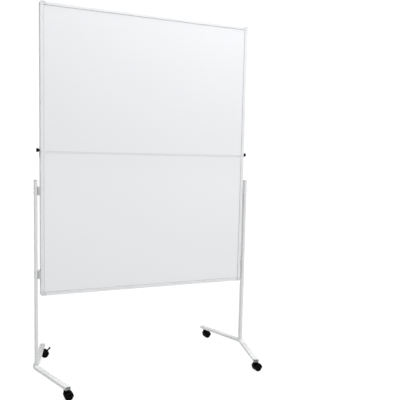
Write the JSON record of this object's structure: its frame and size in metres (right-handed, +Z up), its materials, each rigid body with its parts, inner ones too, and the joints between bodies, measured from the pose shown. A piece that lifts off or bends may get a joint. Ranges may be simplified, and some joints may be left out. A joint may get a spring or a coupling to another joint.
{
  "type": "rolling whiteboard",
  "caption": "Rolling double-sided whiteboard that folds in half across its middle, on two slim side posts with V-shaped feet and swivelling twin-wheel castors.",
  "frame": {"origin": "on the floor, under the middle of the object", "axes": "+X along the board's width to the right as seen from its front, +Y from the front to the back, +Z up; the front writing faces look towards -Y"},
  "size_m": [1.277, 0.6756, 1.95],
  "materials": {
    "frame_aluminium": "satin",
    "stand_paint": "satin",
    "writing_surface": "gloss",
    "panel_core": "matte",
    "corner_plastic": "satin",
    "end_plastic": "satin",
    "black_plastic": "satin",
    "wheel_plastic": "matte",
    "zinc_steel": "satin"
  },
  "bodies": {
    "stand": {"lower_core": "panel_core", "lower_sheet_front": "writing_surface", "lower_sheet_back": "writing_surface", "lower_fold_trim": "frame_aluminium", "lower_bottom_rail": "frame_aluminium", "lower_left_rail": "frame_aluminium", "lower_corner_left": "corner_plastic", "hinge_left_lower_leaf": "zinc_steel", "lower_right_rail": "frame_aluminium", "lower_corner_right": "corner_plastic", "hinge_right_lower_leaf": "zinc_steel", "hinge_left_pin": "zinc_steel", "lock_plate_left": "zinc_steel", "post_left": "stand_paint", "post_cap_left": "corner_plastic", "bracket_left_upper": "corner_plastic", "bracket_left_lower": "corner_plastic", "foot_left": "stand_paint", "foot_cap_left_front": "end_plastic", "foot_cap_left_back": "end_plastic", "hinge_right_pin": "zinc_steel", "lock_plate_right": "zinc_steel", "post_right": "stand_paint", "post_cap_right": "corner_plastic", "bracket_right_upper": "corner_plastic", "bracket_right_lower": "corner_plastic", "foot_right": "stand_paint", "foot_cap_right_front": "end_plastic", "foot_cap_right_back": "end_plastic", "caster_left_front_stem": "zinc_steel", "caster_left_back_stem": "zinc_steel", "caster_right_front_stem": "zinc_steel", "caster_right_back_stem": "zinc_steel"},
    "upper_board": {"upper_core": "panel_core", "upper_sheet_front": "writing_surface", "upper_sheet_back": "writing_surface", "upper_fold_trim": "frame_aluminium", "upper_top_rail": "frame_aluminium", "upper_left_rail": "frame_aluminium", "upper_corner_left": "corner_plastic", "hinge_left_upper_leaf": "zinc_steel", "upper_right_rail": "frame_aluminium", "upper_corner_right": "corner_plastic", "hinge_right_upper_leaf": "zinc_steel"},
    "lock_knob_left": {"lock_knob_left": "black_plastic"},
    "lock_knob_right": {"lock_knob_right": "black_plastic"},
    "caster_left_front": {"caster_left_front_housing": "black_plastic"},
    "caster_left_front_wheel_a": {"caster_left_front_wheel_a": "wheel_plastic"},
    "caster_left_front_wheel_b": {"caster_left_front_wheel_b": "wheel_plastic"},
    "caster_left_back": {"caster_left_back_housing": "black_plastic"},
    "caster_left_back_wheel_a": {"caster_left_back_wheel_a": "wheel_plastic"},
    "caster_left_back_wheel_b": {"caster_left_back_wheel_b": "wheel_plastic"},
    "caster_left_back_brake_lever": {"caster_left_back_brake_lever": "black_plastic"},
    "caster_right_front": {"caster_right_front_housing": "black_plastic"},
    "caster_right_front_wheel_a": {"caster_right_front_wheel_a": "wheel_plastic"},
    "caster_right_front_wheel_b": {"caster_right_front_wheel_b": "wheel_plastic"},
    "caster_right_back": {"caster_right_back_housing": "black_plastic"},
    "caster_right_back_wheel_a": {"caster_right_back_wheel_a": "wheel_plastic"},
    "caster_right_back_wheel_b": {"caster_right_back_wheel_b": "wheel_plastic"},
    "caster_right_back_brake_lever": {"caster_right_back_brake_lever": "black_plastic"}
  },
  "joints": [
    {"name": "fold", "type": "hinge", "parent": "stand", "child": "upper_board", "pos_m": [0, 0.0185, 1.2], "axis": [-1, 0, 0], "range_deg": [0, 180]},
    {"name": "lock_knob_left_turn", "type": "hinge", "parent": "upper_board", "child": "lock_knob_left", "pos_m": [-0.6, 0, 1.209], "axis": [-1, 0, 0], "range_deg": [0, 720]},
    {"name": "lock_knob_right_turn", "type": "hinge", "parent": "upper_board", "child": "lock_knob_right", "pos_m": [0.6, 0, 1.209], "axis": [1, 0, 0], "range_deg": [0, 720]},
    {"name": "caster_left_front_swivel", "type": "hinge", "parent": "stand", "child": "caster_left_front", "pos_m": [-0.53609, -0.3089, 0], "axis": [0, 0, 1], "continuous": true},
    {"name": "caster_left_front_wheel_a_roll", "type": "hinge", "parent": "caster_left_front", "child": "caster_left_front_wheel_a", "pos_m": [-0.52209, -0.3089, 0.021], "axis": [0, 1, 0], "continuous": true},
    {"name": "caster_left_front_wheel_b_roll", "type": "hinge", "parent": "caster_left_front", "child": "caster_left_front_wheel_b", "pos_m": [-0.52209, -0.3089, 0.021], "axis": [0, 1, 0], "continuous": true},
    {"name": "caster_left_back_swivel", "type": "hinge", "parent": "stand", "child": "caster_left_back", "pos_m": [-0.53609, 0.3089, 0], "axis": [0, 0, 1], "continuous": true},
    {"name": "caster_left_back_wheel_a_roll", "type": "hinge", "parent": "caster_left_back", "child": "caster_left_back_wheel_a", "pos_m": [-0.52209, 0.3089, 0.021], "axis": [0, 1, 0], "continuous": true},
    {"name": "caster_left_back_wheel_b_roll", "type": "hinge", "parent": "caster_left_back", "child": "caster_left_back_wheel_b", "pos_m": [-0.52209, 0.3089, 0.021], "axis": [0, 1, 0], "continuous": true},
    {"name": "caster_left_back_brake_lever_press", "type": "hinge", "parent": "caster_left_back", "child": "caster_left_back_brake_lever", "pos_m": [-0.50441, 0.3089, 0.03868], "axis": [0, 1, 0], "range_deg": [0, 25]},
    {"name": "caster_right_front_swivel", "type": "hinge", "parent": "stand", "child": "caster_right_front", "pos_m": [0.53609, -0.3089, 0], "axis": [0, 0, 1], "continuous": true},
    {"name": "caster_right_front_wheel_a_roll", "type": "hinge", "parent": "caster_right_front", "child": "caster_right_front_wheel_a", "pos_m": [0.55009, -0.3089, 0.021], "axis": [0, 1, 0], "continuous": true},
    {"name": "caster_right_front_wheel_b_roll", "type": "hinge", "parent": "caster_right_front", "child": "caster_right_front_wheel_b", "pos_m": [0.55009, -0.3089, 0.021], "axis": [0, 1, 0], "continuous": true},
    {"name": "caster_right_back_swivel", "type": "hinge", "parent": "stand", "child": "caster_right_back", "pos_m": [0.53609, 0.3089, 0], "axis": [0, 0, 1], "continuous": true},
    {"name": "caster_right_back_wheel_a_roll", "type": "hinge", "parent": "caster_right_back", "child": "caster_right_back_wheel_a", "pos_m": [0.55009, 0.3089, 0.021], "axis": [0, 1, 0], "continuous": true},
    {"name": "caster_right_back_wheel_b_roll", "type": "hinge", "parent": "caster_right_back", "child": "caster_right_back_wheel_b", "pos_m": [0.55009, 0.3089, 0.021], "axis": [0, 1, 0], "continuous": true},
    {"name": "caster_right_back_brake_lever_press", "type": "hinge", "parent": "caster_right_back", "child": "caster_right_back_brake_lever", "pos_m": [0.56776, 0.3089, 0.03868], "axis": [0, 1, 0], "range_deg": [0, 25]}
  ]
}
